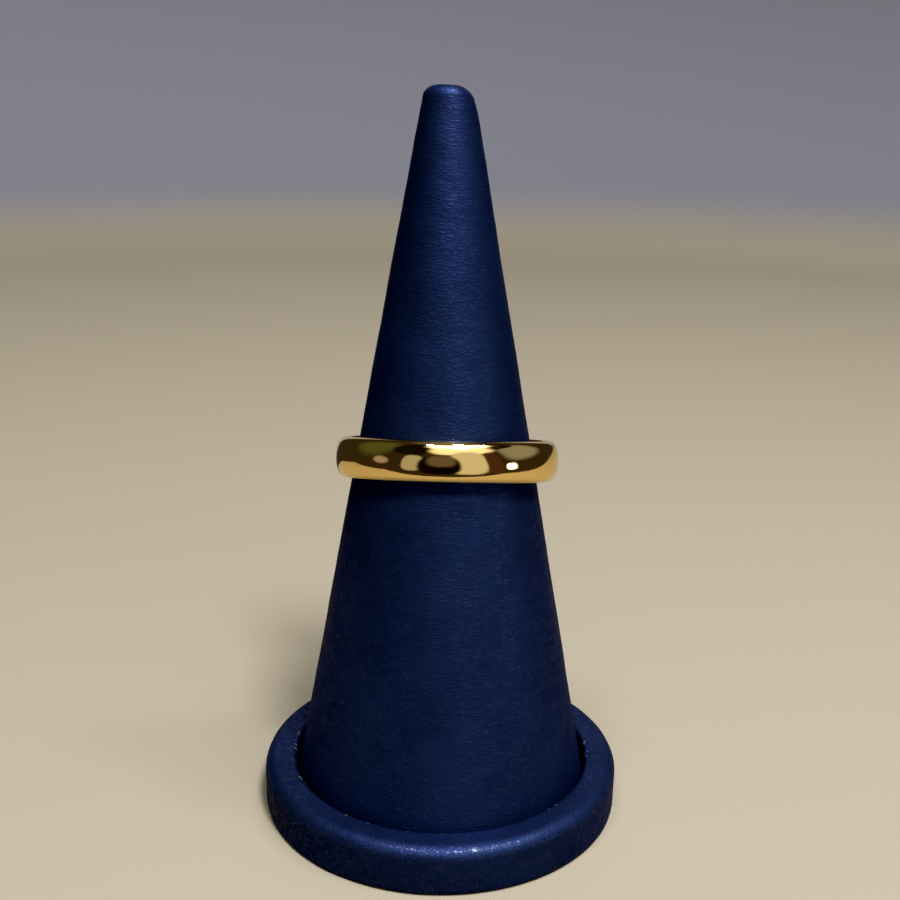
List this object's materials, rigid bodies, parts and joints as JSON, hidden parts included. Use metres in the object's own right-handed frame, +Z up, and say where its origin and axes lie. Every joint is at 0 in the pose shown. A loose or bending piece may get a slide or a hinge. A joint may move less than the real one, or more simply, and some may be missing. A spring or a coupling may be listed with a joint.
{
  "type": "stackable ring on a ring cone",
  "caption": "Plain polished gold band with a half-oval outside, leaning on a slim leather-covered cone that stands inside the rolled rim of a round base.",
  "frame": {"origin": "centre of the base's flat underside", "axes": "+Z up along the cone's axis, -Y towards the front, where the ring's high side is, +X to the right seen from the front"},
  "size_m": [0.035, 0.035, 0.0686],
  "materials": {
    "ring_gold": "polished yellow gold",
    "stand_leather": "fine-grained navy, satin"
  },
  "bodies": {
    "root": {"ring_band": "ring_gold", "stand_cone": "stand_leather", "stand_base": "stand_leather"}
  },
  "joints": []
}
